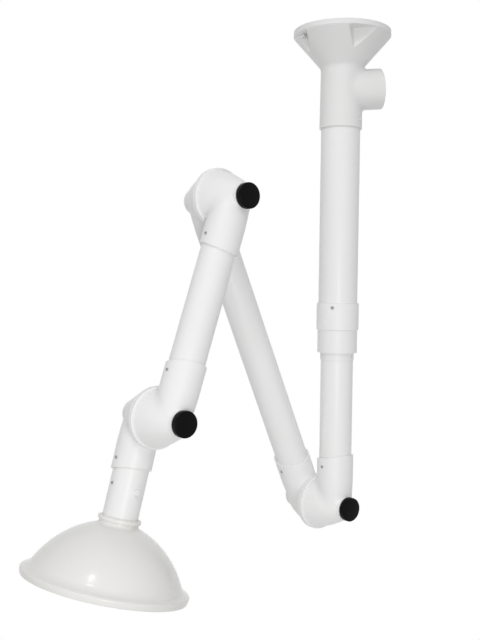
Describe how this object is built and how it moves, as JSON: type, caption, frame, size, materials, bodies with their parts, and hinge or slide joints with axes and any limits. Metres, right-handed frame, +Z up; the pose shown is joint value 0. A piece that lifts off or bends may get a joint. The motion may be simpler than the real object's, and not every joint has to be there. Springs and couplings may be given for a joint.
{
  "type": "fume extraction arm",
  "caption": "Ceiling-hung fume extraction arm: bracket with side duct spigot, telescopic swivel column, friction elbows with clamp knobs, and a dome hood with damper.",
  "frame": {"origin": "centre of the ceiling bracket's top face, where the part meets the ceiling", "axes": "+Z up out of the ceiling face along the column, +Y along the elbows' axes away from the clamp knobs, -X the way the arm reaches at rest"},
  "size_m": [0.8373, 0.3885, 1.2466],
  "materials": {
    "white_plastic": "smooth glossy white moulding",
    "hood_plastic": "smooth glossy warm white moulding",
    "black_plastic": "satin black moulding",
    "nylon": "natural nylon",
    "rubber": "matt black rubber",
    "steel": "stainless steel"
  },
  "bodies": {
    "ceiling_column": {"ceiling_bracket": "white_plastic", "ceiling_bolt_1": "steel", "ceiling_bolt_2": "steel", "column_tube": "white_plastic", "column_screw": "steel", "telescope_collar": "white_plastic", "collar_screw": "steel"},
    "swivel": {"guide_bush": "white_plastic"},
    "drop": {"drop_tube": "white_plastic", "lower_elbow_front": "white_plastic", "lower_elbow_front_screw": "steel", "lower_elbow_washer": "nylon"},
    "lower_knob": {"lower_elbow_knob": "black_plastic", "lower_elbow_knob_nut": "steel"},
    "lower_arm": {"lower_arm_tube": "white_plastic", "lower_elbow_rear": "white_plastic", "lower_elbow_rear_screw": "steel", "lower_elbow_ring": "rubber", "lower_elbow_rod": "steel", "lower_elbow_rod_nut": "steel", "lower_elbow_cap": "white_plastic", "upper_elbow_rear": "white_plastic", "upper_elbow_rear_screw": "steel", "upper_elbow_ring": "rubber", "upper_elbow_rod": "steel", "upper_elbow_rod_nut": "steel", "upper_elbow_cap": "white_plastic"},
    "upper_knob": {"upper_elbow_knob": "black_plastic", "upper_elbow_knob_nut": "steel"},
    "upper_arm": {"upper_arm_tube": "white_plastic", "upper_elbow_front": "white_plastic", "upper_elbow_front_screw": "steel", "upper_elbow_washer": "nylon", "hood_elbow_front": "white_plastic", "hood_elbow_front_screw": "steel", "hood_elbow_washer": "nylon"},
    "hood_knob": {"hood_elbow_knob": "black_plastic", "hood_elbow_knob_nut": "steel"},
    "hood_arm": {"hood_tube": "white_plastic", "hood_tube_screw": "steel", "hood_elbow_rear": "white_plastic", "hood_elbow_rear_screw": "steel", "hood_elbow_ring": "rubber", "hood_elbow_rod": "steel", "hood_elbow_rod_nut": "steel", "hood_elbow_cap": "white_plastic", "hood": "hood_plastic", "hood_snap_ring": "hood_plastic"},
    "damper": {"damper_disc": "white_plastic", "damper_shaft": "steel", "damper_button": "white_plastic", "damper_retainer": "steel"}
  },
  "joints": [
    {"name": "column_swivel", "type": "hinge", "parent": "ceiling_column", "child": "swivel", "pos_m": [0, 0, -0.71], "axis": [0, 0, 1], "continuous": true},
    {"name": "telescope", "type": "slide", "parent": "swivel", "child": "drop", "axis": [0, 0, 1], "range_m": [-0.18, 0.18]},
    {"name": "lower_elbow", "type": "hinge", "parent": "drop", "child": "lower_arm", "pos_m": [0, 0.05025, -1.098], "axis": [0, -1, 0], "range_deg": [-5, 105]},
    {"name": "upper_elbow", "type": "hinge", "parent": "lower_arm", "child": "upper_arm", "pos_m": [-0.31237, 0.05025, -0.39968], "axis": [0, 1, 0], "range_deg": [-5, 110]},
    {"name": "hood_elbow", "type": "hinge", "parent": "upper_arm", "child": "hood_arm", "pos_m": [-0.46531, 0.05025, -0.85677], "axis": [0, 1, 0], "range_deg": [-20, 100]},
    {"name": "lower_knob_turn", "type": "hinge", "parent": "drop", "child": "lower_knob", "pos_m": [0, 0.05025, -1.098], "axis": [0, -1, 0], "range_deg": [0, 360]},
    {"name": "upper_knob_turn", "type": "hinge", "parent": "upper_arm", "child": "upper_knob", "pos_m": [-0.31237, 0.05025, -0.39968], "axis": [0, -1, 0], "range_deg": [0, 360]},
    {"name": "hood_knob_turn", "type": "hinge", "parent": "upper_arm", "child": "hood_knob", "pos_m": [-0.46531, 0.05025, -0.85677], "axis": [0, -1, 0], "range_deg": [0, 360]},
    {"name": "damper_turn", "type": "hinge", "parent": "hood_arm", "child": "damper", "pos_m": [-0.50608, 0.1005, -1.00891], "axis": [0, -1, 0], "range_deg": [0, 90]}
  ]
}
